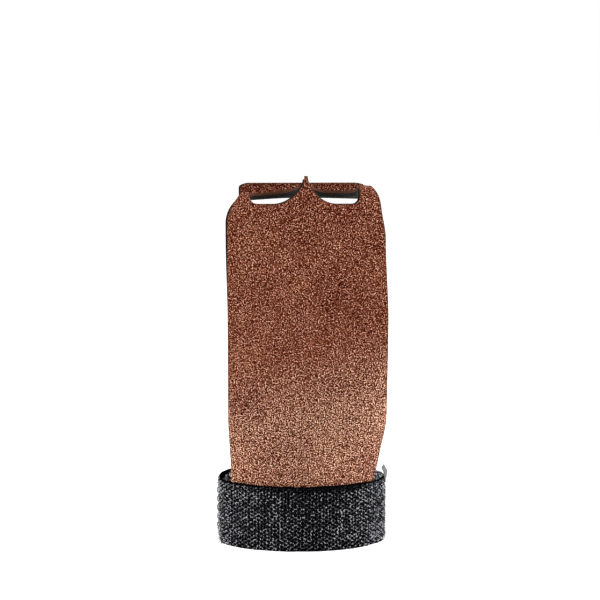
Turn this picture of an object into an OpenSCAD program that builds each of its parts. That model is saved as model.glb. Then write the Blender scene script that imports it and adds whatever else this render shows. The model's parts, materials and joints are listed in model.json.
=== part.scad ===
// Hand grip for bar work: a two-ply leather palm guard with two finger holes, sewn to a
// hook-and-loop wrist strap. Modelled in its worn shape, standing on the strap's lower edge.
// +X is the thumb side, -Y the palm side, +Z runs towards the fingers.

/* [Wrist strap] */
// Width of the strap tape
tape_w = 25; // [15:0.5:40]
// Thickness of the loop tape
tape_t = 1.6; // [1:0.1:2.5]
// Half width of the space inside the strap, across the wrist
wrist_a = 27.6; // [22:0.2:36]
// Half depth of the space inside the strap, palm to back
wrist_b = 19; // [15:0.2:26]
// Angle of the strap's sewn root end, from the palm side towards the thumb
root_angle = 66; // [50:1:67]
// Angle where the free end starts to open, from the palm side away from the thumb
tab_angle = 64; // [62:1:75]
// Angle where the free end stops
tab_end_angle = 150; // [120:1:165]

/* [Hook patch] */
// Thickness of the hook tape
hook_t = 1; // [0.6:0.1:1.6]
// Angle where the hook tape starts
hook_start_angle = 90; // [88:1:105]
// Margin from the hook tape to the edges of the strap
hook_margin = 2; // [1:0.25:4]

/* [Palm leather] */
// Thickness of the suede face
suede_t = 1.2; // [0.8:0.1:2]
// Thickness of the black lining
lining_t = 1.3; // [0.8:0.1:2]
// Thumb side edge at the strap, from the middle of the wrist
wrist_right = 28; // [24:0.5:29]
// Outer edge at the strap, from the middle of the wrist
wrist_left = 26; // [22:0.5:28]
// Thumb side edge across the palm
palm_right = 32.6; // [29:0.2:40]
// Outer edge across the palm
palm_left = 28; // [26:0.2:36]
// Height where the leather bends at the foot of the fingers
crease_z = 118; // [100:1:140]
// Distance of the flat palm from the middle of the wrist
palm_y = 19; // [15:0.2:24]
// How far the leather leans towards the bar at the fingers
palm_lean = 1.5; // [0:0.1:4]

/* [Finger loops] */
// Radius of the hole for the ring finger
ring_r = 10; // [8:0.1:11]
// Radius of the hole for the middle finger
middle_r = 9.4; // [8:0.1:11]
// Width of the web between the two holes
web_w = 2.4; // [1.6:0.1:5]
// Middle of the web, from the middle of the wrist
web_x = 1.5; // [-2:0.1:4]
// Thumb side edge at the shoulder, where the finger end starts to taper
shoulder_right = 29.4; // [26:0.2:38]
// Thumb side edge of the strips that go back round the fingers
loop_right = 25.2; // [23:0.2:32]
// Outer edge of these strips
loop_left = 23; // [22:0.2:30]
// Height of the web above the crease
web_rise = 24.2; // [20:0.2:32]
// Height of the outer shoulder above the crease
left_rise = 16; // [12:0.2:28]
// Height of the thumb side shoulder above the crease
right_rise = 20; // [12:0.2:28]
// Height of the front of the holes above the crease
notch_rise = 13.6; // [10:0.2:18]
// Depth of the finger loops, from the palm leather to the back band
loop_depth = 21; // [16:0.5:30]
// Height of the back band above the holes
band_h = 5.5; // [3:0.25:10]

/* [Stitches] */
// Length of one stitch
stitch_l = 2.6; // [1.5:0.1:4]
// Pitch of the stitches
stitch_pitch = 3.4; // [2.2:0.1:6]
// Width of the thread
thread_w = 0.6; // [0.3:0.05:1]
// Distance between the two rows of stitches on the leather
row_gap = 11; // [5:0.5:16]

/* [Hidden] */

// Clearance between layers that lie on each other
layer_gap = 0.3;
// Glue line between layers that are stuck or sewn together
glue_gap = 0.05;
// Thread stands this far out of the face that it is sewn into
thread_h = 0.2;
// Degrees from one point of the strap's outline to the next
strap_step = 4;
// Points round the nose of a bend
nose_points = 8;
// Cells across a leather ply and along each of its stretches
leather_columns = 16;
loop_columns = 26;
wrist_rows = 4;
palm_rows = 15;
front_rows = 5;
bend_rows = 5;
plate_rows = 5;
band_rows = 3;

// Distances out from the wrist, layer on layer
lining_in = tape_t + layer_gap;
suede_in = lining_in + lining_t + glue_gap;
suede_out = suede_in + suede_t;
wrap_in = suede_out + layer_gap;
hook_in = tape_t + layer_gap;
tab_in = hook_in + hook_t + glue_gap;
// Middle of the two plies, which the palm and the finger loops bend about
ply_mid = lining_in + lining_t + glue_gap / 2;
ply_half = max(suede_t, lining_t) + glue_gap / 2;

// The strap leaves the wrist at the back and is out at the leather's edge
rise_start_angle = 205;
rise_end_angle = 292;
// The free end drops onto its hook tape over this angle
tab_drop_angle = 22;

// Middle of the whole part seen from above, which the frame stands on
right_reach = wrist_a + strap_in(270) + tape_t;
left_reach = wrist_a + tab_in + tape_t;
front_reach = wrist_b + wrap_in + tape_t;
back_reach = wrist_b + tape_t;
centre_x = (right_reach - left_reach) / 2;
centre_y = (back_reach - front_reach) / 2;

// The leather stops short of the strap's lower edge
wrist_end_z = 2;
palm_z = tape_w + layer_gap;
// Heights above the strap where the leather has its full width, is flat and starts to lean
spread_top = tape_w + 26;
flat_top = tape_w + 62;
lean_start = tape_w + 50;

// The finger holes
ring_x = web_x - web_w / 2 - ring_r;
middle_x = web_x + web_w / 2 + middle_r;
web_corner = 11;
outer_corner = 2.4;
back_corner = 8;
corner_points = 8;
hole_back = 4.5;
crease_y = -palm_y - palm_lean;
band_y = crease_y + loop_depth;
notch_z = crease_z + notch_rise;
plate_back_z = notch_z + ply_half;
band_top = plate_back_z + band_h;
front_bend_r = 5;
back_bend_r = 3.6;
band_corner = 4;
// How far back the notch in the front goes before the hole behind it takes over
notch_depth = 4;

function ramp(a, b, t) = let (s = min(1, max(0, (t - a) / (b - a)))) s * s * (3 - 2 * s);
function mix(a, b, t) = a + (b - a) * t;

// A point at an angle from the palm side, d out from the wrist
function wrist_point(angle, d) = [-(wrist_a + d) * sin(angle), -(wrist_b + d) * cos(angle)];
// How far out the strap's inner face lies along its turn
function strap_in(angle) = wrap_in * ramp(rise_start_angle, rise_end_angle, angle);
// How far out the free end's inner face lies
function free_in(angle) = mix(wrap_in, tab_in, ramp(tab_angle, tab_angle + tab_drop_angle, angle));

// Angle of the tape across its thickness at the opening bend
function bend_point(r, turn) =
    let (
        mid = wrist_point(tab_angle, wrap_in + tape_t / 2),
        along = wrist_point(tab_angle + 0.5, wrap_in + tape_t / 2) - mid,
        heading = atan2(along.y, along.x)
    ) [mid.x + r * cos(heading + turn), mid.y + r * sin(heading + turn)];

module standing() {
    translate([-centre_x, -centre_y, 0]) children();
}

// A flat band of tape on edge between two faces given from outside and from inside
module tape_outline(outer, inner, z, h) {
    translate([0, 0, z])
        linear_extrude(h)
            polygon(concat(outer, [for (i = [len(inner) - 1 : -1 : 0]) inner[i]]));
}

// A ply of leather between two grids of points with the same rows and columns
module ply(face, back) {
    rows = len(face);
    cols = len(face[0]);
    count = rows * cols;
    points = concat([for (r = face) for (p = r) p], [for (r = back) for (p = r) p]);
    function at(i, j) = i * cols + j;
    polyhedron(points, concat(
        [for (i = [0 : rows - 2]) for (j = [0 : cols - 2]) for (t = [0, 1])
            t == 0 ? [at(i, j), at(i + 1, j), at(i + 1, j + 1)]
                   : [at(i, j), at(i + 1, j + 1), at(i, j + 1)]],
        [for (i = [0 : rows - 2]) for (j = [0 : cols - 2]) for (t = [0, 1])
            t == 0 ? [count + at(i, j), count + at(i + 1, j + 1), count + at(i + 1, j)]
                   : [count + at(i, j), count + at(i, j + 1), count + at(i + 1, j + 1)]],
        [for (i = [0 : rows - 2]) for (t = [0, 1]) for (side = [0, 1])
            let (
                j = side == 0 ? 0 : cols - 1,
                a = at(i, j), b = at(i + 1, j), c = count + b, d = count + a,
                f = t == 0 ? [a, d, c] : [a, c, b]
            ) side == 0 ? f : [f[2], f[1], f[0]]],
        [for (j = [0 : cols - 2]) for (t = [0, 1]) for (side = [0, 1])
            let (
                i = side == 0 ? 0 : rows - 1,
                a = at(i, j), b = at(i, j + 1), c = count + b, d = count + a,
                f = t == 0 ? [a, b, c] : [a, c, d]
            ) side == 0 ? f : [f[2], f[1], f[0]]]
    ));
}

// Shares across a ply from the outer edge to the thumb side
function shares(n) = [for (i = [0 : n]) i / n];

// The thumb side edge of the flat palm draws in towards the finger end
crease_right = mix(palm_right, shoulder_right, 0.4);

// A point of the leather below the crease, d out from the wrist. It follows the wrist's curve
// under the strap, takes its full width just above it and lies flat higher up
function palm_point(share, z, d) =
    let (
        wrist_x = mix(-wrist_left, wrist_right, share),
        round_xy = wrist_point(-asin(wrist_x / (wrist_a + ply_mid)), d),
        right = mix(palm_right, crease_right, ramp(flat_top, crease_z, z)),
        flat_x = mix(-palm_left, right, share),
        flat_y = -palm_y - palm_lean * ramp(lean_start, crease_z, z) - (d - ply_mid)
    ) [
        mix(round_xy.x, flat_x, ramp(tape_w, spread_top, z)),
        mix(round_xy.y, flat_y, ramp(tape_w, flat_top, z)),
        z
    ];

// Heights of the palm's rows, and how far each row's faces draw in to the nose at the crease
palm_levels = concat(
    [for (i = [0 : palm_rows]) [mix(palm_z, crease_z, i / palm_rows), 1]],
    [for (i = [1 : 3]) [crease_z + ply_half * sin(30 * i), max(0.02, cos(30 * i))]]
);
wrist_levels = [for (i = [0 : wrist_rows]) mix(wrist_end_z, tape_w, i / wrist_rows)];

module palm_ply(near, far) {
    ply(
        [for (l = palm_levels) [for (s = shares(leather_columns))
            palm_point(s, l[0], ply_mid + (far - ply_mid) * l[1])]],
        [for (l = palm_levels) [for (s = shares(leather_columns))
            palm_point(s, l[0], ply_mid + (near - ply_mid) * l[1])]]
    );
}

module wrist_ply(near, far) {
    ply(
        [for (z = wrist_levels) [for (s = shares(leather_columns)) palm_point(s, z, far)]],
        [for (z = wrist_levels) [for (s = shares(leather_columns)) palm_point(s, z, near)]]
    );
}

// Height where the leather turns back over the fingers, above the crease
function rise(x) = x < web_x
    ? mix(left_rise, web_rise, ramp(-loop_left, web_x - web_w / 2, x))
    : mix(right_rise, web_rise, ramp(loop_right, web_x + web_w / 2, x));
function corner(a, b, c, t) = mix(mix(a, b, t), mix(b, c, t), t);

// The middle of the leather over the fingers at x, as [y, z] points from the crease to the band
function loop_profile(x) =
    let (
        top = crease_z + rise(x),
        drop = (top - plate_back_z) / loop_depth,
        front_a = [crease_y, top - front_bend_r],
        front_c = [crease_y + front_bend_r, top - drop * front_bend_r],
        back_a = [band_y - back_bend_r, plate_back_z + drop * back_bend_r],
        back_c = [band_y, plate_back_z + back_bend_r]
    ) concat(
        [for (i = [0 : front_rows]) mix([crease_y, crease_z], front_a, i / front_rows)],
        [for (i = [1 : bend_rows]) corner(front_a, [crease_y, top], front_c, i / bend_rows)],
        [for (i = [1 : plate_rows]) mix(front_c, back_a, i / plate_rows)],
        [for (i = [1 : bend_rows]) corner(back_a, [band_y, plate_back_z], back_c, i / bend_rows)],
        [for (i = [1 : band_rows]) mix(back_c, [band_y, band_top], i / band_rows)]
    );
loop_rows = front_rows + 2 * bend_rows + plate_rows + band_rows;
last_band_row = loop_rows - band_rows;

// How far the ends of the back band are rounded off at a row
function band_inset(row) = row < last_band_row ? 0
    : let (s = (row - last_band_row) / band_rows) band_corner * (1 - sqrt(1 - s * s * 0.96));
// The side edges taper from the shoulders to the strips over the front bend
front_top_row = front_rows + bend_rows;
function loop_left_edge(row) =
    mix(-palm_left, -loop_left, ramp(front_rows * 0.6, front_top_row, row)) + band_inset(row);
function loop_right_edge(row) =
    mix(mix(crease_right, shoulder_right, ramp(0, front_rows, row)), loop_right,
        ramp(front_rows * 0.8, front_top_row, row)) - band_inset(row);

// A point of the leather over the fingers, o out from the middle of the two plies. The first row
// keeps clear of the nose at the crease
function loop_point(share, row, o) =
    let (
        x = mix(loop_left_edge(row), loop_right_edge(row), share),
        line = loop_profile(x),
        a = line[max(0, row - 1)],
        b = line[min(loop_rows, row + 1)],
        along = (b - a) / norm(b - a),
        lift = row == 0 ? sqrt(pow(ply_half + layer_gap, 2) - o * o) : 0,
        p = line[row] + o * [-along.y, along.x] + lift * along
    ) [x, p.x, p.y];

// A slot with two rounded corners at its lower end, open at the top
module slot_outline(r, length, left_corner, right_corner) {
    polygon(concat(
        [[-r, length]],
        [for (i = [0 : corner_points]) let (a = 90 * i / corner_points)
            [left_corner * (1 - cos(a)) - r, left_corner * (1 - sin(a))]],
        [for (i = [0 : corner_points]) let (a = 90 * i / corner_points)
            [r - right_corner * (1 - sin(a)), right_corner * (1 - cos(a))]],
        [[r, length]]
    ));
}

// The way of one finger through the leather: a notch in the front and the hole behind it. The
// notch's corner is wide beside the web and tight at the shoulder
module finger_way(x, r, left_corner, right_corner) {
    depth = loop_depth - hole_back;
    height = web_rise + band_h + ply_half;
    translate([x, crease_y + notch_depth, notch_z])
        rotate([90, 0, 0])
            linear_extrude(notch_depth + 2 * ply_half)
                slot_outline(r, height, left_corner, right_corner);
    translate([x, crease_y + depth, crease_z + ply_half])
        rotate([0, 0, 180])
            linear_extrude(height)
                slot_outline(r, depth - notch_depth + layer_gap, back_corner, back_corner);
}

module loop_ply(near, far) {
    difference() {
        ply(
            [for (i = [0 : loop_rows]) [for (s = shares(loop_columns)) loop_point(s, i, far)]],
            [for (i = [0 : loop_rows]) [for (s = shares(loop_columns)) loop_point(s, i, near)]]
        );
        finger_way(ring_x, ring_r, outer_corner, web_corner);
        finger_way(middle_x, middle_r, web_corner, outer_corner);
    }
}

// One stitch lying on a face of the wrist's curve, d out
module stitch(angle, d, z, upright) {
    p = wrist_point(angle, d);
    turn = atan2((wrist_b + d) * sin(angle), -(wrist_a + d) * cos(angle));
    size = upright ? [thread_w, thread_h, stitch_l] : [stitch_l, thread_h, thread_w];
    translate([p.x, p.y, z])
        rotate([0, 0, turn])
            translate([-size.x / 2, 0, -size.z / 2]) cube(size);
}

// Angles that are about one pitch apart along a face d out from the wrist
function stitch_angles(from, to, d) =
    let (
        per_degree = (wrist_a + wrist_b + 2 * d) / 2 * PI / 180,
        count = max(1, floor((to - from) * per_degree / stitch_pitch))
    ) [for (i = [0 : count]) mix(from, to, i / count)];

// Loop tape from its sewn root behind the leather, once round the wrist and over the leather
module wrist_strap() {
    angles = [for (a = [-root_angle : strap_step : 360 + tab_angle - 1]) a];
    nose = [for (i = [1 : nose_points - 1]) bend_point(tape_t / 2, -90 + 180 * i / nose_points)];
    color([0.12, 0.12, 0.13])
        standing()
            tape_outline(
                concat([for (a = angles) wrist_point(a, strap_in(a) + tape_t)],
                    [wrist_point(tab_angle, wrap_in + tape_t)]),
                concat([for (a = angles) wrist_point(a, strap_in(a))],
                    [wrist_point(tab_angle, wrap_in)], nose),
                0, tape_w);
}

// The strap's free end, which opens at the bend beside the leather
module strap_free_end() {
    angles = [for (a = [tab_angle + strap_step : strap_step : tab_end_angle]) a];
    seat_r = tape_t / 2 + layer_gap;
    color([0.12, 0.12, 0.13])
        standing()
            tape_outline(
                concat([for (turn = [0, 12, 24]) bend_point(seat_r, turn)],
                    [for (a = angles) wrist_point(a, free_in(a) + tape_t)]),
                concat([for (turn = [-12 : -12 : -48]) bend_point(seat_r, turn)],
                    [for (a = angles) wrist_point(a, free_in(a))]),
                0, tape_w);
}

// Hook tape on the inside of the free end
module hook_patch() {
    angles = [for (a = [hook_start_angle : strap_step : tab_end_angle - 3]) a];
    color([0.07, 0.07, 0.08])
        standing()
            tape_outline(
                [for (a = angles) wrist_point(a, hook_in + hook_t)],
                [for (a = angles) wrist_point(a, hook_in)],
                hook_margin, tape_w - 2 * hook_margin);
}

// Thread that holds the hook tape, lying on the outside of the free end
module hook_patch_thread() {
    d = tab_in + tape_t + glue_gap;
    from = hook_start_angle + 3;
    to = tab_end_angle - 6;
    color([0.1, 0.1, 0.11])
        standing() {
            for (a = stitch_angles(from, to, d), z = [hook_margin + 1.5, tape_w - hook_margin - 1.5])
                stitch(a, d, z, false);
            for (a = [from - 2, to + 2], z = [hook_margin + 3.2 : stitch_pitch : tape_w - hook_margin - 3])
                stitch(a, d, z, true);
        }
}

// Two rows of stitches through the leather and the root of the strap
module wrist_seam_thread() {
    d = suede_out + glue_gap;
    edge = asin(min(wrist_left, wrist_right) / (wrist_a + ply_mid)) - 5;
    middle = wrist_end_z + (tape_w - wrist_end_z) / 2;
    color([0.2, 0.13, 0.1])
        standing()
            for (a = stitch_angles(-edge, edge, d), z = [middle - row_gap / 2, middle + row_gap / 2])
                stitch(a, d, z, false);
}

// Black lining under the strap
module lining_wrist_end() {
    color([0.08, 0.07, 0.07]) standing() wrist_ply(lining_in, lining_in + lining_t);
}

// Suede face under the strap
module leather_wrist_end() {
    color([0.53, 0.33, 0.25]) standing() wrist_ply(suede_in, suede_out);
}

// Black lining across the palm
module lining_palm() {
    color([0.08, 0.07, 0.07]) standing() palm_ply(lining_in, lining_in + lining_t);
}

// Suede face across the palm
module leather_palm() {
    color([0.53, 0.33, 0.25]) standing() palm_ply(suede_in, suede_out);
}

// Black lining round the fingers
module lining_finger_loops() {
    color([0.08, 0.07, 0.07]) standing() loop_ply(lining_in - ply_mid, lining_in + lining_t - ply_mid);
}

// Suede face round the fingers
module leather_finger_loops() {
    color([0.53, 0.33, 0.25]) standing() loop_ply(suede_in - ply_mid, suede_out - ply_mid);
}

wrist_strap();
lining_wrist_end();
leather_wrist_end();
wrist_seam_thread();
lining_palm();
leather_palm();
lining_finger_loops();
leather_finger_loops();
strap_free_end();
hook_patch();
hook_patch_thread();
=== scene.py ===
import json
import math

import bmesh
import bpy
import numpy as np
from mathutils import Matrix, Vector, kdtree


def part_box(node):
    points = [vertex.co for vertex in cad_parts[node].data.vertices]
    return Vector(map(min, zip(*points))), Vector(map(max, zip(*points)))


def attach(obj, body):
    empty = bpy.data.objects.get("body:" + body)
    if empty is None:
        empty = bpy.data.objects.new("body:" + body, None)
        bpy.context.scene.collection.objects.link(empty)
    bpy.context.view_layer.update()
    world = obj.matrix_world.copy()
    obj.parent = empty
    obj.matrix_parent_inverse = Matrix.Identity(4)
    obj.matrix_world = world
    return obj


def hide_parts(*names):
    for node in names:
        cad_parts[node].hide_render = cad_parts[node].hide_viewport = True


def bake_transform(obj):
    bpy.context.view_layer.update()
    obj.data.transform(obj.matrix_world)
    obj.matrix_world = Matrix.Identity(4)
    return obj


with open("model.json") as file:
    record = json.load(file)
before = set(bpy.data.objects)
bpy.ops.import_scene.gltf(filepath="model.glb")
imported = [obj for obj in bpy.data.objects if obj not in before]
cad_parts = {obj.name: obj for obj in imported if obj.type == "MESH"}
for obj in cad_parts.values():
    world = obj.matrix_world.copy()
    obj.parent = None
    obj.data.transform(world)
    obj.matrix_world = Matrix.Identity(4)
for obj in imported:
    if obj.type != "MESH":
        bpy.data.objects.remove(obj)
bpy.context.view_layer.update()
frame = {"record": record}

# Wrist strap: one length of black hook-and-loop tape, soft loop side out and knitted back in. Its root is
# sewn behind the leather, and it goes once round and comes back over the leather. This section makes the
# tape up to the place where the free end starts to open, with a small corner piece on its upper edge whose
# mid grey is a painted highlight of light glancing off the tape.
MM = 0.001
mounts = {m["name"]: m for m in frame["record"]["mounts"]}
wrist_mid = Vector(mounts["wrist_opening"]["pos_m"])
wrist_a, wrist_b = 27.6, 19.0
strap_low, strap_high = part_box("wrist_strap")
tape_w = (strap_high[2] - strap_low[2]) / MM
tape_t, ground_t, tape_edge_r, tape_step = 1.6, 1.12, 0.4, 2.0
suede_t, lining_t = 1.2, 1.3
layer_gap, glue_gap = 0.3, 0.05
lining_in = tape_t + layer_gap
suede_in = lining_in + lining_t + glue_gap
suede_out = suede_in + suede_t
wrap_in = suede_out + layer_gap
root_angle, rise_start_angle, rise_end_angle, tab_root_angle = 66, 205, 292, 52
edge_waves = [(0.10, 5, 0.6), (0.07, 13, 2.0), (0.04, 31, 0.0)]
edge_shift = 40


def ramp(a, b, t):
    s = np.clip((np.asarray(t, float) - a) / (b - a), 0, 1)
    return s * s * (3 - 2 * s)


def mix(a, b, t):
    return a + (b - a) * t


def wrist_point(angle, d):
    turn = np.radians(angle)
    return -(wrist_a + d) * np.sin(turn), -(wrist_b + d) * np.cos(turn)


def run_per_degree(d):
    return (wrist_a + wrist_b + 2 * d) / 2 * math.pi / 180


def placed(x, y, z):
    x, y, z = np.broadcast_arrays(x, y, z)
    return np.stack([x * MM + wrist_mid.x, y * MM + wrist_mid.y, z * MM], axis=-1)


def strap_in(angle):
    return wrap_in * ramp(rise_start_angle, rise_end_angle, angle)


def edge_wander(angle):
    turn = np.radians(angle)
    return sum(height * np.sin(waves * turn + phase) for height, waves, phase in edge_waves)


def made_object(name, points, faces, material):
    mesh = bpy.data.meshes.new(name)
    mesh.from_pydata([tuple(p) for p in points], [], [tuple(f) for f in faces])
    mesh.materials.append(material)
    mesh.shade_smooth()
    obj = bpy.data.objects.new(name, mesh)
    bpy.context.scene.collection.objects.link(obj)
    return obj


def swept_tape(name, angles, inner, thick, low, high, edge_r, material, end_round=0.0, wander=1.0):
    angles = np.asarray(angles, float)
    count, across = len(angles), 14
    faces, rows = [], []
    from_end = np.abs(angles - angles[-1]) * run_per_degree(0)
    arc = end_round - np.sqrt(np.maximum(0, end_round**2 - (end_round - from_end) ** 2))
    pull = np.where(from_end < end_round, arc, 0)
    inside = [(0.0, s) for s in np.linspace(0, 1, across)]
    outside = [(1.0, s) for s in np.linspace(1, 0, across)]
    for angle, d, p in zip(angles, inner(angles), pull):
        bottom = low + p + wander * edge_wander(angle)
        top = high - p + wander * edge_wander(angle + edge_shift)
        ring = []
        for o, s in inside + outside:
            z = mix(bottom, top, s)
            near = min(z - bottom, top - z)
            lip = edge_r - math.sqrt(max(0.0, edge_r**2 - max(0.0, edge_r - near) ** 2))
            ring.append((lip if o == 0 else thick - lip, z))
        o, z = np.array(ring).T
        x, y = wrist_point(angle, d + o)
        rows.append(placed(x, y, z))
    size = len(rows[0])
    for i in range(count - 1):
        for j in range(size):
            k = (j + 1) % size
            faces.append((i * size + j, i * size + k, (i + 1) * size + k, (i + 1) * size + j))
    faces.append(tuple(range(size - 1, -1, -1)))
    faces.append(tuple((count - 1) * size + j for j in range(size)))
    obj = made_object(name, np.concatenate(rows), faces, material)
    b = bmesh.new()
    b.from_mesh(obj.data)
    bmesh.ops.recalc_face_normals(b, faces=b.faces)
    b.to_mesh(obj.data)
    b.free()
    return obj


def new_material(name):
    material = bpy.data.materials.new(name)
    material.use_nodes = True
    tree = material.node_tree
    return material, tree, tree.nodes["Principled BSDF"]


def add(tree, kind, inputs=None, **settings):
    made = tree.nodes.new(kind)
    for key, value in settings.items():
        setattr(made, key, value)
    for key, value in (inputs or {}).items():
        if isinstance(value, bpy.types.NodeSocket):
            tree.links.new(value, made.inputs[key])
        else:
            made.inputs[key].default_value = value
    return made


def object_place(tree):
    return add(tree, "ShaderNodeTexCoord").outputs["Object"]


def noise(tree, place, scale, detail=2.0, rough=0.5, distort=0.0):
    grain = {"Scale": scale, "Detail": detail, "Roughness": rough, "Distortion": distort}
    return add(tree, "ShaderNodeTexNoise", {"Vector": place, **grain}).outputs["Fac"]


def coloured(tree, shader, value, stops):
    made = add(tree, "ShaderNodeValToRGB", {"Fac": value})
    elements = made.color_ramp.elements
    while len(elements) < len(stops):
        elements.new(0.5)
    for element, (at, colour) in zip(elements, stops):
        element.position = at
        element.color = (*colour, 1)
    tree.links.new(made.outputs["Color"], shader.inputs["Base Color"])


def relief(tree, shader, height, strength, depth):
    made = add(tree, "ShaderNodeBump", {"Strength": strength, "Distance": depth * MM, "Height": height})
    tree.links.new(made.outputs["Normal"], shader.inputs["Normal"])


def finished(shader, rough, specular=None):
    shader.inputs["Roughness"].default_value = rough
    if specular is not None:
        shader.inputs["Specular IOR Level"].default_value = specular


loop_ground, tree, shader = new_material("loop_ground")
clumps = noise(tree, object_place(tree), 1150, 2.0, 0.6)
ground_blacks = [
    (0.46, (0.0005, 0.0005, 0.0006)),
    (0.58, (0.003, 0.003, 0.0034)),
    (0.72, (0.004, 0.004, 0.0044)),
]
coloured(tree, shader, clumps, ground_blacks)
relief(tree, shader, clumps, 0.8, 0.6)
finished(shader, 0.8, 0.0)

# Mid grey of the small corner piece: a painted highlight where light glances off the tape's edge.
corner_painted_glint, tree, shader = new_material("corner_painted_glint")
shader.inputs["Base Color"].default_value = (0.115, 0.115, 0.12, 1)
finished(shader, 0.5)

knit_back, tree, shader = new_material("knit_back")
specks = noise(tree, object_place(tree), 1500, 1.0, 0.5)
knit_greys = [
    (0.46, (0.003, 0.003, 0.0034)),
    (0.56, (0.12, 0.12, 0.127)),
    (0.68, (0.62, 0.62, 0.645)),
]
coloured(tree, shader, specks, knit_greys)
relief(tree, shader, specks, 0.6, 0.4)
finished(shader, 0.8, 0.02)

strap_angles = np.arange(-root_angle, 360 + tab_root_angle + 0.1, tape_step)
strap_tape = swept_tape("strap_tape", strap_angles, strap_in, ground_t, 0, tape_w, tape_edge_r, loop_ground)
strap_tape.data.materials.append(corner_painted_glint)
strap_tape.data.materials.append(knit_back)
ground_index, glint_index, knit_index = range(3)
corner_angle, corner_slant, corner_half_t = -80, (0.75, 0.65), (0.2, -0.25)
corner_outline = [(0.3, 1.3), (0.4, -1.2), (1.5, -1.2), (2.1, 1.7), (0.2, 4.4), (-1.0, 3.1)]
corner_x, corner_y = wrist_point(corner_angle, strap_in(360 + corner_angle) + ground_t / 2)
inward_facing = -0.3
b = bmesh.new()
b.from_mesh(strap_tape.data)
near, far = (
    [
        b.verts.new(
            placed(
                corner_x + corner_slant[0] * u + corner_half_t[0] * side,
                corner_y + corner_slant[1] * u + corner_half_t[1] * side,
                tape_w + z,
            )
        )
        for u, z in corner_outline
    ]
    for side in (-1, 1)
)
rims = list(zip(near, near[1:] + near[:1], far[1:] + far[:1], far))
corner_faces = [b.faces.new(f) for f in [near, far[::-1]] + rims]
bmesh.ops.recalc_face_normals(b, faces=corner_faces)
for f in corner_faces:
    f.material_index = glint_index
b.normal_update()
for f in b.faces:
    from_wrist = (f.calc_center_median() - wrist_mid).to_2d().normalized()
    if f.material_index == ground_index and f.normal.to_2d().dot(from_wrist) < inward_facing:
        f.material_index = knit_index
b.to_mesh(strap_tape.data)
b.free()
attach(strap_tape, "wrist_band")
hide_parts("wrist_strap")

# Loop pile of the strap: thousands of small black nylon loops knitted into the tape's outer side. Their pale
# grey specks are painted glints of the shiny nylon, and they stand a little proud of the tape's edges. Their
# tone is darker in front as painted shade, where the sides would catch a grazing sheen, and darker still
# along the upper edge there as a painted shadow under the leather's edge.
pile_loops, tree, shader = new_material("pile_loops")
yarn = add(tree, "ShaderNodeAttribute", attribute_name="yarn_tone_and_painted_light").outputs["Fac"]
# Yarn greys: random tone, with the palest stops as painted glints of shiny nylon.
yarn_greys_and_glints = [
    (0.0, (0.0005, 0.0005, 0.0006)),
    (0.4, (0.02, 0.02, 0.022)),
    (0.7, (0.12, 0.12, 0.129)),
    (0.92, (0.8, 0.8, 0.85)),
]
coloured(tree, shader, yarn, yarn_greys_and_glints)
finished(shader, 0.6, 0.0)


def tree_inputs(tree, names):
    face = tree.interface
    face.new_socket("Geometry", in_out="INPUT", socket_type="NodeSocketGeometry")
    face.new_socket("Geometry", in_out="OUTPUT", socket_type="NodeSocketGeometry")
    return {n: face.new_socket(n, in_out="INPUT", socket_type="NodeSocketFloat").identifier for n in names}


def settled(obj, tree, identifiers, sizes):
    grown = obj.modifiers.new("grown", "NODES")
    grown.node_group = tree
    for name, value in sizes.items():
        grown[identifiers[name]] = value
    bpy.context.view_layer.update()
    graph = bpy.context.evaluated_depsgraph_get()
    mesh = bpy.data.meshes.new_from_object(obj.evaluated_get(graph), depsgraph=graph)
    obj.modifiers.clear()
    obj.data = mesh
    return obj


def spot_vector(tree, name):
    made = add(tree, "GeometryNodeInputNamedAttribute", {"Name": name}, data_type="FLOAT_VECTOR")
    return made.outputs["Attribute"]


def aligned(tree, inputs, **settings):
    return add(tree, "FunctionNodeAlignRotationToVector", inputs, **settings).outputs["Rotation"]


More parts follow.
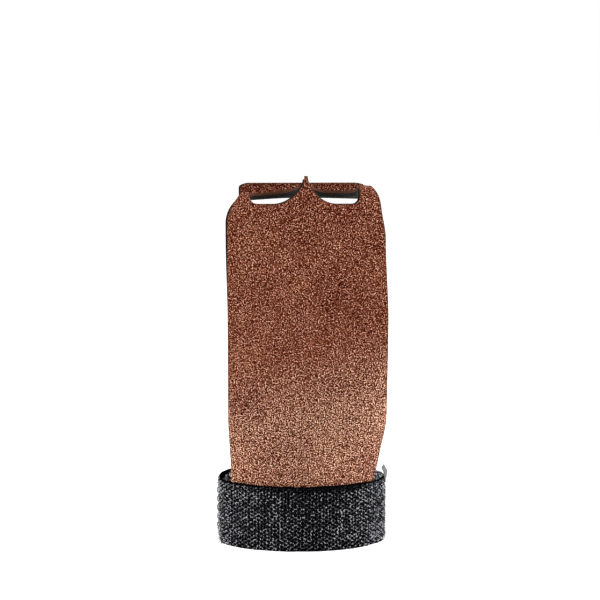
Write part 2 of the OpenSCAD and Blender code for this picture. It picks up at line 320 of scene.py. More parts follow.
def bar_tree(name, material, feet, bow, sides, steps, lean=0.0, spread=0.0):
    lean_seed, growth_seed = 11, 12
    tree = bpy.data.node_groups.new(name, "GeometryNodeTree")
    identifiers = tree_inputs(tree, ["Length", "Thickness"])
    given = add(tree, "NodeGroupInput").outputs
    bar = add(tree, "GeometryNodeCurvePrimitiveBezierSegment", {"Resolution": steps})
    ends = {"Start": feet[0], "Start Handle": bow[0], "End Handle": bow[1], "End": feet[1]}
    for socket, (x, z) in ends.items():
        scaled = {0: (x, 0, z), "Scale": given["Length"]}
        spot = add(tree, "ShaderNodeVectorMath", scaled, operation="SCALE")
        tree.links.new(spot.outputs[0], bar.inputs[socket])
    half = add(tree, "ShaderNodeMath", {0: given["Thickness"], 1: 0.5}, operation="MULTIPLY").outputs[0]
    circle = add(tree, "GeometryNodeCurvePrimitiveCircle", {"Resolution": sides, "Radius": half})
    lines = {"Curve": bar.outputs["Curve"], "Profile Curve": circle.outputs["Curve"]}
    tube = add(tree, "GeometryNodeCurveToMesh", {**lines, "Fill Caps": True}).outputs["Mesh"]
    turned = aligned(tree, {"Vector": spot_vector(tree, "along")}, axis="X")
    outward = {"Rotation": turned, "Vector": spot_vector(tree, "outward")}
    faced = aligned(tree, outward, axis="Z", pivot_axis="X")
    limits = {"Min": (-lean, -lean, -2 * lean), "Max": (lean, lean, 2 * lean), "Seed": lean_seed}
    tilt = add(tree, "FunctionNodeRandomValue", limits, data_type="FLOAT_VECTOR").outputs["Value"]
    swing = add(tree, "FunctionNodeEulerToRotation", {0: tilt}).outputs[0]
    swung = {"Rotation": faced, "Rotate By": swing}
    leaning = add(tree, "FunctionNodeRotateRotation", swung, rotation_space="LOCAL").outputs["Rotation"]
    growths = {2: 1 - spread, 3: 1 + spread, "Seed": growth_seed}
    growth = add(tree, "FunctionNodeRandomValue", growths, data_type="FLOAT").outputs[1]
    spots = add(tree, "GeometryNodeMeshToPoints", {"Mesh": given["Geometry"]}).outputs["Points"]
    on_spots = {"Points": spots, "Instance": tube, "Rotation": leaning, "Scale": growth}
    planted = add(tree, "GeometryNodeInstanceOnPoints", on_spots).outputs["Instances"]
    real = add(tree, "GeometryNodeRealizeInstances", {"Geometry": planted}).outputs["Geometry"]
    smooth = add(tree, "GeometryNodeSetShadeSmooth", {"Geometry": real}).outputs["Geometry"]
    painted = add(tree, "GeometryNodeSetMaterial", {"Geometry": smooth, "Material": material})
    add(tree, "NodeGroupOutput", {"Geometry": painted.outputs["Geometry"]})
    return tree, identifiers


def planted_bars(name, spots, tree, identifiers, sizes, material, tones=None):
    angle, d, z, upright, facing = np.array(spots, float).T
    x, y = wrist_point(angle, d)
    next_x, next_y = wrist_point(angle + 0.5, d)
    along = np.stack([next_x - x, next_y - y, 0 * x], axis=-1)
    along /= np.linalg.norm(along, axis=1)[:, None]
    outward = np.stack([along[:, 1], -along[:, 0], 0 * x], axis=-1)
    from_mid = np.stack([x, y, 0 * x], axis=-1)
    outward *= np.sign((outward * from_mid).sum(axis=1))[:, None] * facing[:, None]
    along = np.where(upright[:, None] > 0, np.array([[0.0, 0.0, 1.0]]), along)
    obj = made_object(name, placed(x, y, z), [], material)
    for key, values in (("along", along), ("outward", outward)):
        kept = obj.data.attributes.new(key, "FLOAT_VECTOR", "POINT")
        kept.data.foreach_set("vector", values.astype(np.float32).ravel())
    if tones is not None:
        kept = obj.data.attributes.new("yarn_tone_and_painted_light", "FLOAT", "POINT")
        kept.data.foreach_set("value", np.asarray(tones, np.float32))
    return settled(obj, tree, identifiers, sizes)


loop_feet, loop_bow = ((-0.5, 0.0), (0.5, 0.0)), ((-0.7, 1.9), (0.7, 1.9))
pile_tree, pile_ids = bar_tree("pile_loop", pile_loops, loop_feet, loop_bow, 3, 4, lean=0.6, spread=0.3)
loop_sizes = {"Length": 0.34 * MM, "Thickness": 0.2 * MM}
wale, course = 1.31, 1.52
loop_root, loop_scatter, darkest_yarn = 0.08, 0.09, 0.45
pile_start, pile_end, pile_bottom, pile_top = 0.4, 0.3, 0.15, 0.7
edge_dark, edge_full = 0.6, 3.0
# Painted shade across the front of the pile, against sides paler from grazing sheen.
front_shade_angle, front_shade_spread, front_shade_depth = 351, 20, 0.1
# Painted shadow along the upper edge in front, under the leather's edge.
edge_shadow_angle, edge_shadow_spread, edge_shadow_depth = 350, 45, 0.55


def fades_from(angle, mid, spread):
    return np.exp(-(((angle - mid) / spread) ** 2))


def piled_face(name, start, end, inner, seed):
    random = np.random.default_rng(seed)
    turns = np.arange(start, end, 0.25)
    x, y = wrist_point(turns, inner(turns) + ground_t)
    run = np.concatenate([[0], np.cumsum(np.hypot(np.diff(x), np.diff(y)))])
    steps = 2 * ((wale / 3, course / 2), (wale * 2 / 3, 0))
    spots, tones = [], []
    for k, column in enumerate(np.arange(pile_start, run[-1] - pile_end, wale)):
        first = pile_start + (course / 2 if k % 2 else 0)
        for row in np.arange(first, tape_w - edge_dark, course):
            for step_along, step_up in steps:
                along = np.clip(column + step_along + random.normal(0, loop_scatter), 0, run[-1])
                up = row + step_up + random.normal(0, loop_scatter)
                up = np.clip(up, pile_bottom, tape_w - pile_top)
                angle = np.interp(along, run, turns)
                d, z = inner(angle) + ground_t - loop_root, up + edge_wander(angle)
                spots.append((angle, d, z, random.integers(2), 1))
                # Painted shadow near the upper edge of the pile in front.
                edge_shadow = edge_shadow_depth * fades_from(angle, edge_shadow_angle, edge_shadow_spread)
                edge_unshadowed = mix(1 - edge_shadow, 1.0, ramp(tape_w - edge_dark, tape_w - edge_full, up))
                # Painted shade across the front of the pile.
                front_shade = front_shade_depth * fades_from(angle, front_shade_angle, front_shade_spread)
                tones.append(random.uniform(darkest_yarn, 1.0) * edge_unshadowed * (1 - front_shade))
    return planted_bars(name, spots, pile_tree, pile_ids, loop_sizes, pile_loops, tones)


back_from, front_from = 58, 236
pile_back = piled_face("strap_pile_back", back_from, front_from, strap_in, 4)
pile_front = piled_face("strap_pile_front", front_from, 360 + tab_root_angle, strap_in, 5)
for pile_piece in (pile_back, pile_front):
    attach(pile_piece, "wrist_band")

# Black lining: a thin cut of black leather glued behind the suede, with the same outline and finger holes.
# It is one sheet, split here at half its length, with a crease in each half.
joints = {j["name"]: j for j in frame["record"]["behaviour"]["joints"]}
wrist_left, wrist_right, wrist_tuck = 26.0, 28.0, 1.3
palm_left, palm_right = 28.0, 32.6
loop_left, loop_right, shoulder_right = 23.0, 25.2, 29.4
wrist_end_z, split_z, crease_z = 2.0, 72.0, joints["finger_bend"]["pos_m"][2] / MM
tuck_low, tuck_top = tape_w - 1, tape_w + 6
spread_top, lean_start, flat_top = tape_w + 26, tape_w + 50, tape_w + 62
palm_y, palm_lean = 19.0, 1.5
crease_y = -palm_y - palm_lean
crease_right = mix(palm_right, shoulder_right, 0.4)
ply_mid = lining_in + lining_t + glue_gap / 2
ply_half = max(suede_t, lining_t) + glue_gap / 2
web_x, web_w, ring_r, middle_r = 1.5, 2.4, 10.0, 9.4
ring_x, middle_x = web_x - web_w / 2 - ring_r, web_x + web_w / 2 + middle_r
web_corner, outer_corner, back_corner = 11.0, 2.4, 8.0
left_rise, right_rise, web_rise, notch_rise = 16.0, 20.0, 24.2, 13.6
notch_z, notch_depth, notch_blend = crease_z + notch_rise, 4.0, 1.5
loop_depth, hole_back = 21.0, 4.5
band_h, band_corner, band_corner_share = 5.5, 4.0, 0.96
band_y = crease_y + loop_depth
plate_back_z = notch_z + ply_half
band_top = plate_back_z + band_h
front_bend_r, back_bend_r = 5.0, 3.6
loop_parts, stretch = 5, 20.0
left_taper, shoulder_taper, right_taper = (0.6, 2), (0, 1), (0.8, 2)
web_pinch, pinch_on, pinch_off = 0.75, (0.5, 1.4), (3.0, 2.0)
lining_shift, shift_length = 0.6, 30
swell_waves = [(0.30, 0.11, 0.045, 0.0), (0.22, 0.17, -0.083, 1.3)]
swell_span = 60
swell_on, swell_off = (tape_w + 6, tape_w + 30), (crease_z + 6, crease_z - 18)


def palm_surface(share, z, o):
    wrist_x = mix(-wrist_left, wrist_right - wrist_tuck * ramp(tuck_top, tuck_low, z), share)
    round_x, round_y = wrist_point(-np.degrees(np.arcsin(wrist_x / (wrist_a + ply_mid))), ply_mid + o)
    right = mix(palm_right, crease_right, ramp(flat_top, crease_z, z))
    flat_x = mix(-palm_left, right, share)
    flat_y = -palm_y - palm_lean * ramp(lean_start, crease_z, z) - o
    x = mix(round_x, flat_x, ramp(tape_w, spread_top, z))
    y = mix(round_y, flat_y, ramp(tape_w, flat_top, z))
    return x, y, z


def rise(x):
    left = mix(left_rise, web_rise, ramp(-loop_left, web_x - web_w / 2, x))
    right = mix(right_rise, web_rise, ramp(loop_right, web_x + web_w / 2, x))
    return np.where(x < web_x, left, right)


def loop_line(x, q):
    top = crease_z + rise(x)
    level = 0 * top
    drop = (top - plate_back_z) / loop_depth
    front_bend = [
        (crease_y + level, top - front_bend_r),
        (crease_y, top),
        (crease_y + front_bend_r + level, top - drop * front_bend_r),
    ]
    back_bend = [
        (band_y - back_bend_r + level, plate_back_z + drop * back_bend_r),
        (band_y, plate_back_z),
        (band_y + level, plate_back_z + back_bend_r + level),
    ]
    part = np.floor(np.minimum(q, loop_parts - 1e-6)).astype(int)
    t = q - part

    def rounded(a, b, c):
        return mix(mix(a, b, t), mix(b, c, t), t)

    line = []
    for axis, start, end in ((0, crease_y, band_y), (1, crease_z, band_top)):
        fa, fb, fc = (p[axis] for p in front_bend)
        ba, bb, bc = (p[axis] for p in back_bend)
        parts = [mix(start, fa, t), rounded(fa, fb, fc), mix(fc, ba, t), rounded(ba, bb, bc), mix(bc, end, t)]
        line.append(np.choose(part, parts))
    return line


def loop_surface(share, q, o):
    s = np.clip(q - (loop_parts - 1), 0, 1)
    inset = band_corner * (1 - np.sqrt(1 - s * s * band_corner_share))
    left = mix(-palm_left, -loop_left, ramp(*left_taper, q)) + inset
    shoulder = mix(crease_right, shoulder_right, ramp(*shoulder_taper, q))
    right = mix(shoulder, loop_right, ramp(*right_taper, q)) - inset
    x = mix(left, right, share)
    y, z = loop_line(x, q)
    step = 0.02
    ya, za = loop_line(x, np.clip(q - step, 0, loop_parts))
    yb, zb = loop_line(x, np.clip(q + step, 0, loop_parts))
    size = np.hypot(yb - ya, zb - za)
    return x, y - o * (zb - za) / size, z + o * (yb - ya) / size


def swell(x, v):
    wave = sum(height * np.sin(by_x * x + by_v * v + phase) for height, by_x, by_v, phase in swell_waves)
    return wave * ramp(*swell_on, v) * ramp(*swell_off, v)


def leather_surface(share, v, o):
    share, v, o = np.broadcast_arrays(*(np.asarray(value, float) for value in (share, v, o)))
    below = palm_surface(share, np.minimum(v, crease_z), o + swell(swell_span * share, v))
    above = loop_surface(share, np.clip((v - crease_z) / stretch, 0, loop_parts), o)
    return [np.where(v <= crease_z, a, b) for a, b in zip(below, above)]


def slot_reach(px, pz, r, left_corner, right_corner):
    reach = np.maximum.reduce([-r - px, px - r, -pz])
    left = (px < left_corner - r) & (pz < left_corner)
    right = (px > r - right_corner) & (pz < right_corner)
    reach = np.where(left, np.hypot(px + r - left_corner, pz - left_corner) - left_corner, reach)
    return np.where(right, np.hypot(px - r + right_corner, pz - right_corner) - right_corner, reach)


def hole_reach(share, v):
    far_off = 1e3
    x, y, z = leather_surface(share, v, 0.0)
    depth = loop_depth - hole_back
    notch_y = crease_y + notch_depth
    behind = ramp(notch_y - notch_blend, notch_y + notch_blend, y)
    reach = np.full(x.shape, far_off)
    q = (v - crease_z) / stretch
    pinch = web_pinch / 2 * ramp(*pinch_on, q) * ramp(*pinch_off, q)
    for mid, r, left_corner, right_corner in (
        (ring_x, ring_r, outer_corner, web_corner),
        (middle_x, middle_r, web_corner, outer_corner),
    ):
        px = x - mid - pinch * np.sign(web_x - mid)
        notch = slot_reach(px, z - notch_z, r + pinch, left_corner, right_corner)
        hole = slot_reach(px, crease_y + depth - y, r + pinch, back_corner, back_corner)
        reach = np.minimum(reach, mix(notch, hole, behind))
    return np.where(v <= crease_z, far_off, reach)


lower_rows = np.linspace(wrist_end_z, split_z, 66)
rows_of_parts = (24, 10, 20, 8, 4)
upper_rows = np.concatenate(
    [np.linspace(split_z, crease_z, 44)]
    + [crease_z + stretch * np.linspace(k, k + 1, n + 1)[1:] for k, n in enumerate(rows_of_parts)]
)
web_share, crowding = 0.515, 0.55
columns = np.linspace(0, 1, 101)
columns = columns - crowding * np.sin(2 * np.pi * (columns - web_share)) / (2 * np.pi)
columns = (columns - columns[0]) / (columns[-1] - columns[0])
mean_width, edge_reach, crisp_turn = 57.0, 1.6, 0.9


def drawn_to_holes(share, v, rim):
    ds, dv, longest_step, least_slope = 1e-4, 1e-2, 0.8, 0.05
    for _ in range(6):
        s, t = share[rim], v[rim]
        by_s = (hole_reach(s + ds, t) - hole_reach(s - ds, t)) / (2 * ds) / mean_width
        by_v = (hole_reach(s, t + dv) - hole_reach(s, t - dv)) / (2 * dv)
        slope = np.maximum(by_s * by_s + by_v * by_v, least_slope)
        step = np.clip(hole_reach(s, t) / slope, -longest_step, longest_step)
        share[rim] = np.clip(s - step * by_s / mean_width, 0, 1)
        v[rim] = t - step * by_v


def corner_touched(cells):
    ringed = np.pad(cells, 1)
    return ringed[:-1, :-1] | ringed[1:, :-1] | ringed[:-1, 1:] | ringed[1:, 1:]


def nearest_among(points):
    found = kdtree.KDTree(len(points))
    for k, p in enumerate(points):
        found.insert(p, k)
    found.balance()
    return found


def leather_ply(name, rows, near, far, open_end, material, edge_r, shift=0.0):
    share, v = (grid.copy() for grid in np.meshgrid(columns, rows))
    kept = hole_reach((share[1:, 1:] + share[:-1, :-1]) / 2, (v[1:, 1:] + v[:-1, :-1]) / 2) > 0
    used = corner_touched(kept)
    drawn_to_holes(share, v, used & corner_touched(~kept))
    count = int(used.sum())
    index = -np.ones(v.shape, int)
    index[used] = np.arange(count)
    points = [placed(*leather_surface(share[used], v[used], o)) for o in (far, near)]
    for layer in points:
        layer[:, 0] -= shift * MM * ramp(crease_z - shift_length, crease_z, v[used])
    outer = placed(*leather_surface(share, v, far))
    run = np.zeros(v.shape)
    run[1:] = np.cumsum(np.linalg.norm(np.diff(outer, axis=0), axis=2) * (v[1:] > crease_z), axis=0)
    run += np.minimum(v, crease_z) * MM
    unrolled = [
        np.stack([p[:, 0], run[used] + o * MM, 0 * p[:, 0]], axis=-1) for p, o in zip(points, (far, near))
    ]
    faces, edges = [], {}
    for i, j in zip(*np.nonzero(kept)):
        quad = [int(k) for k in (index[i, j], index[i, j + 1], index[i + 1, j + 1], index[i + 1, j])]
        faces.append(quad)
        faces.append([count + k for k in reversed(quad)])
        for a, b in zip(quad, quad[1:] + quad[:1]):
            edges[(a, b)] = True
    border = [(a, b) for a, b in edges if (b, a) not in edges]
    faces += [[b, a, count + a, count + b] for a, b in border]
    flat = np.concatenate(points)
    obj = made_object(name, flat, faces, material)
    open_row = {int(k) for k in index[open_end] if k >= 0}
    ends = open_row | {k + count for k in open_row}
    b = bmesh.new()
    b.from_mesh(obj.data)
    crisp = []
    for e in b.edges:
        if len(e.link_faces) == 2 and e.calc_face_angle(0) > crisp_turn:
            if e.verts[0].index in ends and e.verts[1].index in ends:
                e.smooth = False
            else:
                crisp.append(e)
    bmesh.ops.bevel(
        b, geom=crisp, offset=edge_r * MM, segments=2, profile=0.5, affect="EDGES", clamp_overlap=True
    )
    b.to_mesh(obj.data)
    b.free()
    for polygon in obj.data.polygons:
        polygon.use_smooth = True
    whole = nearest_among(flat)
    nearest = [whole.find(p.co)[1] for p in obj.data.vertices]
    flat_place = obj.data.attributes.new("flat_place", "FLOAT_VECTOR", "POINT")
    flat_place.data.foreach_set("vector", np.concatenate(unrolled)[nearest].astype(np.float32).ravel())
    cut_points = [p for p, n in border if not (p in open_row and n in open_row)]
    cut_line = nearest_among([flat[p + layer] for p in cut_points for layer in (0, count)])
    closeness = obj.data.attributes.new("cut_edge", "FLOAT", "POINT")
    values = [max(0.0, 1 - cut_line.find(p.co)[2] / (edge_reach * MM)) for p in obj.data.vertices]
    closeness.data.foreach_set("value", values)
    return obj


lining_black, tree, shader = new_material("lining_black")
place = object_place(tree)
pebble = add(tree, "ShaderNodeTexVoronoi", {"Vector": place, "Scale": 900}, feature="SMOOTH_F1")
lining_blacks = [(0.3, (0.008, 0.0075, 0.0075)), (0.7, (0.02, 0.0185, 0.018))]
coloured(tree, shader, noise(tree, place, 90, 3.0, 0.6), lining_blacks)
relief(tree, shader, pebble.outputs["Distance"], 0.35, 0.3)
finished(shader, 0.8, 0.05)


def bends_at_wrist(piece):
    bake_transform(piece)


def bends_at_fingers(piece):
    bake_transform(piece)


lining_near, lining_far, lining_edge_r = lining_in - ply_mid, lining_in + lining_t - ply_mid, 0.22
lining_lower = leather_ply(
    "lining_lower", lower_rows, lining_near, lining_far, -1, lining_black, lining_edge_r
)
lining_upper = leather_ply(
    "lining_upper", upper_rows, lining_near, lining_far, 0, lining_black, lining_edge_r, lining_shift
)
bends_at_wrist(lining_lower)
bends_at_fingers(lining_upper)
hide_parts("lining_wrist_end", "lining_palm")
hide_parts("lining_palm", "lining_finger_loops")

# Suede palm leather: one cut of brown split leather, nap side out, glued to the lining. Its wrist end lies
# under the strap, and its finger end turns back in a plate with two holes to a narrow band. The nap is paler
# towards the strap, partly from wear and partly as painted light where the lower leather faces the light, and
# darker just above the strap as painted shade. It is paler or darker in marks given by x, z and radius in mm,
# and tone.
pore_scale, pore_spread, tuft_share = 2300, 0.85, 0.8
pore_depths, pore_tones = (0.22, 0.68), (-0.7, 0.9)
fresh_pit, fresh_tip = (0.05, -0.165, -0.225), (0.565, 0.295, 0.2)
# Paler colours towards the strap: partly wear, partly painted light on the lower leather.
worn_and_lit_pit, worn_and_lit_tip = (-0.01, -0.225, -0.285), (0.77, 0.504, 0.384)
darkest, palest, deepening = (0, 0, 0), (1.0, 0.76, 0.60), 1.5
cut_brown, cut_sharpness = (0.09, 0.036, 0.022, 1), 6
wear_and_light_tilt, wear_and_light_heights = -0.25, (0.081, 0.047)
# Painted shade on the leather just above the strap's upper edge.
strap_shade_heights, strap_shade_level = (0.024, 0.046), 0.65
stain_levels, stain_tones = (0.35, 0.65), (-0.2, 0.2)
tone_step = (0.13, 0.12, 0.095)
# Marks paler or darker in tone: x, z and radius in mm, and tone.
tone_marks = [
    (-18, 115, 13, 0.35),
    (-1, 127, 18, -0.35),
    (16, 127, 13, -0.40),
    (14, 95, 15, -0.60),
    (-2, 101, 9, 0.40),
    (22, 85, 11, -0.30),
    (-24, 73, 13, 0.55),
    (-22, 57, 13, -0.80),
    (9, 61, 14, -0.55),
    (-25, 44, 12, -0.40),
    (-9, 37, 15, -0.60),
    (9, 36, 12, 0.45),
    (28, 31, 14, -0.95),
]


def ranged(tree, value, before, after, **settings):
    limits = {"From Min": before[0], "From Max": before[1], "To Min": after[0], "To Max": after[1]}
    return add(tree, "ShaderNodeMapRange", {"Value": value, **limits}, **settings).outputs["Result"]


def maths(tree, operation, *values):
    return add(tree, "ShaderNodeMath", dict(enumerate(values)), operation=operation).outputs[0]


def vectors(tree, operation, *values):
    return add(tree, "ShaderNodeVectorMath", dict(enumerate(values)), operation=operation).outputs


def mixed(tree, share, first, second):
    ends = {0: share, 4: first, 5: second}
    return add(tree, "ShaderNodeMix", ends, data_type="VECTOR", clamp_factor=False).outputs[1]


suede_brown, tree, shader = new_material("suede_brown")
place = object_place(tree)
parts = add(tree, "ShaderNodeSeparateXYZ", {0: place}).outputs
flat_place = add(tree, "ShaderNodeAttribute", attribute_name="flat_place").outputs["Vector"]
pore_sizes = {"Vector": flat_place, "Scale": pore_scale, "Randomness": pore_spread}
pores = add(tree, "ShaderNodeTexVoronoi", pore_sizes, voronoi_dimensions="2D", feature="F1").outputs
pore_tone = ranged(tree, pores["Distance"], pore_depths, pore_tones, clamp=False)
tuft_tone = add(tree, "ShaderNodeSeparateColor", {0: pores["Color"]}).outputs[0]
nap = maths(tree, "MULTIPLY_ADD", tuft_tone, tuft_share, pore_tone)
# Paler towards the strap, partly wear and partly painted light.
tilted = maths(tree, "MULTIPLY_ADD", parts["X"], wear_and_light_tilt, parts["Z"])
wear_and_light = ranged(tree, tilted, wear_and_light_heights, (0, 1), interpolation_type="SMOOTHSTEP")
# Painted shade just above the strap.
strap_shade = ranged(tree, parts["Z"], strap_shade_heights, (strap_shade_level, 1))
worn_and_lit = maths(tree, "MULTIPLY", wear_and_light, strap_shade)
tone_blotches = ranged(tree, noise(tree, place, 62, 3.0, 0.55, 0.4), stain_levels, stain_tones)
in_front = add(tree, "ShaderNodeCombineXYZ", {"X": parts["X"], "Z": parts["Z"]}).outputs[0]
for mark_x, mark_z, mark_r, mark_tone in tone_marks:
    away = vectors(tree, "DISTANCE", in_front, (mark_x * MM, 0, mark_z * MM))["Value"]
    mark = ranged(tree, away, (0, mark_r * MM), (mark_tone, 0), interpolation_type="SMOOTHSTEP")
    tone_blotches = maths(tree, "ADD", tone_blotches, mark)
tone = add(tree, "ShaderNodeVectorMath", {0: tone_step, "Scale": tone_blotches}, operation="SCALE").outputs[0]
pits = mixed(tree, worn_and_lit, fresh_pit, worn_and_lit_pit)
tips = mixed(tree, worn_and_lit, fresh_tip, worn_and_lit_tip)
toned = vectors(tree, "ADD", mixed(tree, nap, pits, tips), tone)[0]
bounded = vectors(tree, "MINIMUM", vectors(tree, "MAXIMUM", toned, darkest)[0], palest)[0]
face_brown = add(tree, "ShaderNodeGamma", {"Color": bounded, "Gamma": deepening}).outputs[0]
cut_edge = add(tree, "ShaderNodeAttribute", attribute_name="cut_edge").outputs["Fac"]
cut_share = maths(tree, "POWER", cut_edge, cut_sharpness)
browns = add(tree, "ShaderNodeMix", {0: cut_share, 6: face_brown, 7: cut_brown}, data_type="RGBA")
tree.links.new(browns.outputs[2], shader.inputs["Base Color"])
relief(tree, shader, nap, 0.35, 0.2)
finished(shader, 0.92, 0.04)

suede_near, suede_far, suede_edge_r = suede_in - ply_mid, suede_out - ply_mid, 0.25
suede_lower = leather_ply("suede_lower", lower_rows, suede_near, suede_far, -1, suede_brown, suede_edge_r)
suede_upper = leather_ply("suede_upper", upper_rows, suede_near, suede_far, 0, suede_brown, suede_edge_r)
bends_at_wrist(suede_lower)
bends_at_fingers(suede_upper)
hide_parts("leather_wrist_end", "leather_palm")
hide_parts("leather_palm", "leather_finger_loops")

# Wrist seam: two rows of dark brown thread through suede, lining and the root of the strap. Each stitch is
# a short bar of twisted thread that dips into the leather at both ends. The strap covers them when closed.
stitch_l, stitch_pitch, thread_t, row_gap = 2.6, 3.4, 0.42, 11.0
seam_lift, seam_inset_angle = 0.02, 5


def thread_material(name, dark, light):
    material, tree, shader = new_material(name)
    strands = {"Vector": object_place(tree), "Scale": 900, "Distortion": 1.0}
    twist = add(tree, "ShaderNodeTexWave", strands, bands_direction="DIAGONAL").outputs["Fac"]
    coloured(tree, shader, twist, [(0.2, dark), (0.9, light)])
    relief(tree, shader, twist, 0.5, 0.2)
    finished(shader, 0.55)
    return material


def stitch_angles(start, end, d):
    count = max(1, math.floor((end - start) * run_per_degree(d) / stitch_pitch))
    return [mix(start, end, i / count) for i in range(count + 1)]


brown_thread = thread_material("brown_thread", (0.03, 0.014, 0.009), (0.10, 0.05, 0.033))
stitch_feet, stitch_bow = ((-0.5, -0.08), (0.5, -0.08)), ((-0.25, 0.1), (0.25, 0.1))
brown_stitch, stitch_ids = bar_tree("brown_stitch", brown_thread, stitch_feet, stitch_bow, 6, 6)
thread_sizes = {"Length": stitch_l * MM, "Thickness": thread_t * MM}
seam_d = suede_out + seam_lift
narrow_side = min(wrist_left, wrist_right)
seam_edge = math.degrees(math.asin(narrow_side / (wrist_a + ply_mid))) - seam_inset_angle
seam_mid = wrist_end_z + (tape_w - wrist_end_z) / 2
seam_spots = [
    (a, seam_d, z, 0, 1)
    for a in stitch_angles(-seam_edge, seam_edge, seam_d)
    for z in (seam_mid - row_gap / 2, seam_mid + row_gap / 2)
]
seam_thread = planted_bars(
    "wrist_seam_stitches", seam_spots, brown_stitch, stitch_ids, thread_sizes, brown_thread
)
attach(seam_thread, "wrist_band")
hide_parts("wrist_seam_thread")

# Free end of the strap: the last stretch of the same tape, which peels open at one side. Its end is cut
# square with rounded corners, and hook tape on its inside holds it to the loops beneath.
hook_t = 1.0
hook_in = tape_t + layer_gap
tab_in = hook_in + hook_t + glue_gap
tab_angle, tab_end_angle, tab_drop_angle = 64, 150, 22
tab_step, tab_corner_r, tab_pile_inset = 1.0, 2.5, 2
bend_before, bend_after = 4.5, 5.5


def free_in(angle):
    return mix(wrap_in, tab_in, ramp(tab_angle, tab_angle + tab_drop_angle, angle))


tab_angles = np.arange(tab_root_angle, tab_end_angle + 0.1, tab_step)
tab_tape = swept_tape(
    "free_end_tape",
    tab_angles,
    free_in,
    ground_t,
    0,
    tape_w,
    tape_edge_r,
    loop_ground,
    end_round=tab_corner_r,
)
tab_pile = piled_face("free_end_pile", tab_root_angle, tab_end_angle - tab_pile_inset, free_in, 6)
bend_start, bend_end = (
    Vector(placed(*wrist_point(a, wrap_in + tape_t / 2), tape_w / 2))
    for a in (tab_angle - bend_before, tab_angle + bend_after)
)
for piece in (tab_tape, tab_pile):
    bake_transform(piece)
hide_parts("strap_free_end")

# Hook patch: a strip of black hook tape sewn inside the free end. Rows of tiny moulded hooks stand on a
# woven ground and grip the pile of the strap beneath.
hook_margin, hook_ground_t, hook_edge_r = 2.0, 0.5, 0.2
hook_start_angle, hook_end_angle = 90, tab_end_angle - 4
hook_row_pitch, hook_pitch, hook_run_per_degree = 1.35, 1.3, 0.53
hook_end_inset, hook_low_inset, hook_top_inset, hook_stagger = 1.5, 1.0, 0.9, 0.7
hook_sizes = {"Length": 0.42 * MM, "Thickness": 0.16 * MM}
hook_tape, tree, shader = new_material("hook_tape")
weave_sizes = {"Vector": object_place(tree), "Scale": 320, "Distortion": 0.6}
weave = add(tree, "ShaderNodeTexWave", weave_sizes, bands_direction="Z").outputs["Fac"]
coloured(tree, shader, weave, [(0.2, (0.006, 0.006, 0.0065)), (0.8, (0.02, 0.02, 0.022))])
relief(tree, shader, weave, 0.5, 0.2)
finished(shader, 0.5)


def hook_ground_in(angle):
    return hook_in + hook_t - hook_ground_t + 0 * angle


hook_ground = swept_tape(
    "hook_patch_tape",
    np.arange(hook_start_angle, hook_end_angle + 0.1, tape_step),
    hook_ground_in,
    hook_ground_t,
    hook_margin,
    tape_w - hook_margin,
    hook_edge_r,
    hook_tape,
    wander=0.0,
)
hook_feet, hook_crook = ((0.0, -0.1), (0.62, 0.55)), ((0.0, 1.15), (0.75, 1.5))
hook_tree, hook_ids = bar_tree("moulded_hook", hook_tape, hook_feet, hook_crook, 4, 6)
hook_from, hook_to = hook_start_angle + hook_end_inset, hook_end_angle - hook_end_inset
hook_low, hook_high = hook_margin + hook_low_inset, tape_w - hook_margin - hook_top_inset
hook_spots = [
    (a + (hook_stagger if k % 2 else 0.0), hook_in + hook_t - hook_ground_t, z, k % 2, -1)
    for a in np.arange(hook_from, hook_to, hook_pitch / hook_run_per_degree)
    for k, z in enumerate(np.arange(hook_low, hook_high, hook_row_pitch))
]
hooks = planted_bars("hook_patch_hooks", hook_spots, hook_tree, hook_ids, hook_sizes, hook_tape)
for piece in (hook_ground, hooks):
    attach(piece, "closure_tab")
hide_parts("hook_patch")

# Hook patch thread: black thread sewn round the edge of the hook tape. Its stitches lie in the pile on the
# outside of the free end.
patch_d = tab_in + tape_t + glue_gap
patch_from, patch_to, patch_end_step = hook_start_angle + 3, tab_end_angle - 6, 2
patch_side_inset, patch_low_inset, patch_top_inset = 1.5, 3.2, 3
black_thread = thread_material("black_thread", (0.008, 0.008, 0.009), (0.045, 0.045, 0.05))
black_stitch, black_ids = bar_tree("black_stitch", black_thread, stitch_feet, stitch_bow, 6, 6)
patch_low, patch_high = hook_margin + patch_low_inset, tape_w - hook_margin - patch_top_inset + 0.01
patch_spots = [
    (a, patch_d, z, 0, 1)
    for a in stitch_angles(patch_from, patch_to, patch_d)
    for z in (hook_margin + patch_side_inset, tape_w - hook_margin - patch_side_inset)
]
patch_spots += [
    (a, patch_d, z, 1, 1)
    for a in (patch_from - patch_end_step, patch_to + patch_end_step)
    for z in np.arange(patch_low, patch_high, stitch_pitch)
]
patch_thread = planted_bars(
    "hook_patch_stitches", patch_spots, black_stitch, black_ids, thread_sizes, black_thread
)
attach(patch_thread, "closure_tab")
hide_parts("hook_patch_thread")

# Studio: a pale floor under the part, a white backdrop, large soft lights from the front and both sides,
# and a long lens a little above the middle of the leather.
floor_half, floor_glow, backdrop_light = 6.0, 0.7, 0.42


def seen_as_backdrop(tree):
    rays = add(tree, "ShaderNodeLightPath").outputs
    seen = maths(tree, "MAXIMUM", rays["Is Camera Ray"], rays["Is Glossy Ray"])
    return maths(tree, "MAXIMUM", seen, rays["Is Transmission Ray"])


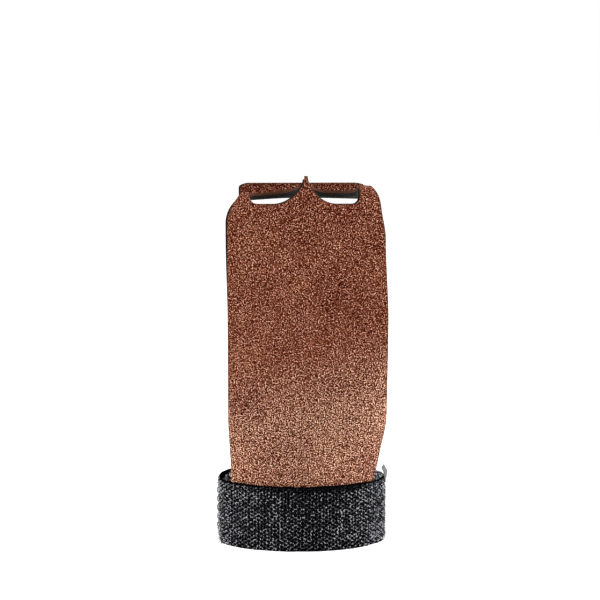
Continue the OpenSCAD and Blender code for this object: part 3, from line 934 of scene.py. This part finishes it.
floor_paint, tree, shader = new_material("floor_paint")
shader.inputs["Base Color"].default_value = (0.82, 0.82, 0.82, 1)
finished(shader, 0.9)
lift = maths(tree, "MULTIPLY", seen_as_backdrop(tree), floor_glow)
glow = add(tree, "ShaderNodeEmission", {"Strength": lift})
lit_floor = add(tree, "ShaderNodeAddShader", {0: shader.outputs[0], 1: glow.outputs[0]})
tree.links.new(lit_floor.outputs[0], tree.nodes["Material Output"].inputs["Surface"])
floor_corners = [(floor_half * x, floor_half * y, 0) for x, y in ((-1, -1), (1, -1), (1, 1), (-1, 1))]
floor = made_object("floor", floor_corners, [(0, 1, 2, 3)], floor_paint)

world = bpy.data.worlds.new("white_studio")
bpy.context.scene.world = world
world.use_nodes = True
tree = world.node_tree
backdrop = tree.nodes["Background"]
backdrop.inputs["Color"].default_value = (1, 1, 1, 1)
level = ranged(tree, seen_as_backdrop(tree), (0, 1), (backdrop_light, 1.0))
tree.links.new(level, backdrop.inputs["Strength"])


def soft_light(name, at, towards, size, power):
    lamp = bpy.data.lights.new(name, "AREA")
    lamp.shape = "SQUARE"
    lamp.size = size
    lamp.energy = power
    obj = bpy.data.objects.new(name, lamp)
    obj.location = at
    obj.rotation_mode = "QUATERNION"
    obj.rotation_quaternion = (Vector(towards) - Vector(at)).to_track_quat("-Z", "Y")
    bpy.context.scene.collection.objects.link(obj)


aim = Vector((0, -0.01, 0.08))
soft_light("front_light", (-0.5, -0.9, 0.9), aim, 0.8, 6.3)
soft_light("left_light", (-0.9, 0.1, 0.4), aim, 0.6, 10)
soft_light("right_light", (0.9, 0.1, 0.4), aim, 0.6, 15)

lens_distance, lens_length, sensor_width = 0.70, 112.0, 36.0
pitch, yaw = math.radians(6.4), math.radians(-2.0)
target = Vector((-0.0013, -0.018, 0.0955))
camera = bpy.data.objects.new("camera", bpy.data.cameras.new("camera"))
bpy.context.scene.collection.objects.link(camera)
camera.location = target + lens_distance * Vector(
    (math.sin(yaw) * math.cos(pitch), -math.cos(yaw) * math.cos(pitch), math.sin(pitch))
)
camera.rotation_mode = "QUATERNION"
camera.rotation_quaternion = (target - camera.location).to_track_quat("-Z", "Y")
camera.data.lens = lens_length
camera.data.sensor_width = sensor_width
camera.data.clip_start, camera.data.clip_end = 0.01, 50
bpy.context.scene.camera = camera
bpy.context.scene.view_settings.view_transform = "Standard"
